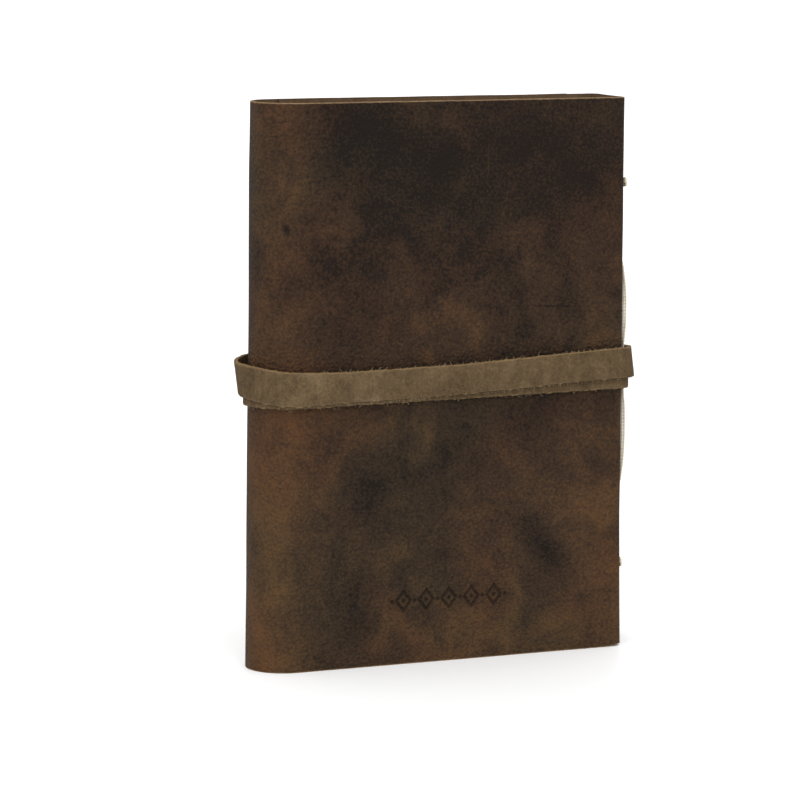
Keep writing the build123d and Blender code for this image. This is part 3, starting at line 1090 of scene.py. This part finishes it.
def makeStrap():
    route = makeStrapRoute()
    length = routeLength(route)
    print("strap length", round(length / mm, 1), "mm")
    deselectAll()
    bpy.ops.mesh.primitive_grid_add(x_subdivisions=strap["columns"], y_subdivisions=8, size=1)
    piece = bpy.context.object
    piece.name = "strap_wound_twice"
    piece.scale = (length, strap["width"], 1)
    piece.rotation_euler.x = math.radians(90)
    piece.location.x = length / 2
    settle(piece)
    layer = piece.data.uv_layers[0]
    layer.name = "alongStrap"
    for loop, corner in zip(piece.data.loops, layer.data):
        spot = piece.data.vertices[loop.vertex_index].co
        corner.uv = (spot.x, spot.z)
    for point in piece.data.vertices:     # the outer turn is narrower, and splayed where it loops out
        share = easeBetween(point.co.x, length * 0.55, length * 0.62)
        fromLoop = abs(point.co.x - strap["loopAt"] * length) / (30 * mm)
        splay = strap["splay"] * max(0, 1 - fromLoop * fromLoop)
        point.co.z *= 1 + (strap["outerWidth"] - 1) * share + splay
        nearEdge = easeBetween(abs(point.co.z), 0.6 * strap["width"] / 2, strap["width"] / 2)
        ragged = sum(depth * noise.noise(Vector((point.co.x * size, point.co.z * 200, seed)))
                     for size, seed, depth in strap["edgeWaves"])
        point.co.z += strap["edgeRough"] * ragged * nearEdge
        point.co.y += 0.10 * mm * noise.noise(Vector((point.co.x * 60, point.co.z * 120, 1)))
    modify(piece, "thickness", "SOLIDIFY", thickness=strap["thickness"], offset=0, material_offset=1,
           material_offset_rim=2)
    modify(piece, "rounding", "BEVEL", width=strap["rounding"], segments=2, limit_method="ANGLE",
           angle_limit=math.radians(50), material=2)
    dressIn(piece, strapGrain, strapFleshPaintedShade, strapCut)
    applyAll(piece)
    for face in piece.data.polygons:      # the lower cut edge gets dashes of the dark flesh finish: painted shade in the gap beneath it
        if face.material_index == 2 and face.center.z < 0:
            if noise.noise(Vector((face.center.x * 330, 0, 4))) > strap["shadeDashes"]:
                face.material_index = 1
    joinPieces([piece, strapFibres(length)])
    modify(piece, "wound", "CURVE", object=route, deform_axis="POS_X")
    applyAll(piece)
    smooth(piece, 40)
    bpy.data.objects.remove(route)
    return piece


strapPiece = makeStrap()
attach(strapPiece, "strap")
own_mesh(strapPiece)
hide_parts("strap")
print("strap ready,", len(strapPiece.data.polygons), "faces")


studio = {"skyStrength": 1.0, "sunStrength": 1.6, "sunSize": 60, "floorTone": 0.955,
          "lens": 171.0, "place": (-0.58875, -1.2851, 0.2875), "yaw": 24.131, "pitch": 7.682, "roll": 0.339}


def makeFloor():
    deselectAll()
    bpy.ops.mesh.primitive_plane_add(size=60)
    floor = bpy.context.object
    floor.name = "floor"
    material, tree, shader, where = newMaterial("paleFloor", 0.45, 0.3)
    tone = studio["floorTone"]
    colour = ramp(tree, cloudNoise(tree, where, 6.0), [(0, tone), (1, tone + 0.01)])
    tree.links.new(colour, shader.inputs["Base Color"])
    dressIn(floor, material)


def makeLight():
    world = bpy.data.worlds.new("studio")
    bpy.context.scene.world = world
    world.use_nodes = True
    sky = world.node_tree.nodes["Background"]
    sky.inputs["Color"].default_value = (1, 1, 1, 1)
    sky.inputs["Strength"].default_value = studio["skyStrength"]
    deselectAll()
    bpy.ops.object.light_add(type="SUN", location=(-0.5, -0.8, 1.2))
    sun = bpy.context.object
    sun.name = "softSun"
    sun.data.energy = studio["sunStrength"]
    sun.data.angle = math.radians(studio["sunSize"])
    sun.rotation_euler = Vector((0.35, 0.75, -1.0)).to_track_quat("-Z", "Y").to_euler()


def makeCamera():
    data = bpy.data.cameras.new("camera")
    data.lens = studio["lens"]
    data.sensor_width = 36
    data.clip_start = 0.01
    data.clip_end = 100
    camera = addObject("camera", data)
    turn = Matrix.Rotation(-math.radians(studio["yaw"]), 4, "Z")
    turn @= Matrix.Rotation(math.radians(90 - studio["pitch"]), 4, "X")
    turn @= Matrix.Rotation(math.radians(studio["roll"]), 4, "Z")
    camera.matrix_world = Matrix.Translation(studio["place"]) @ turn
    bpy.context.scene.camera = camera


makeFloor()
makeLight()
makeCamera()
bpy.context.scene.view_settings.view_transform = "Standard"

deselectAll()
bpy.context.view_layer.update()
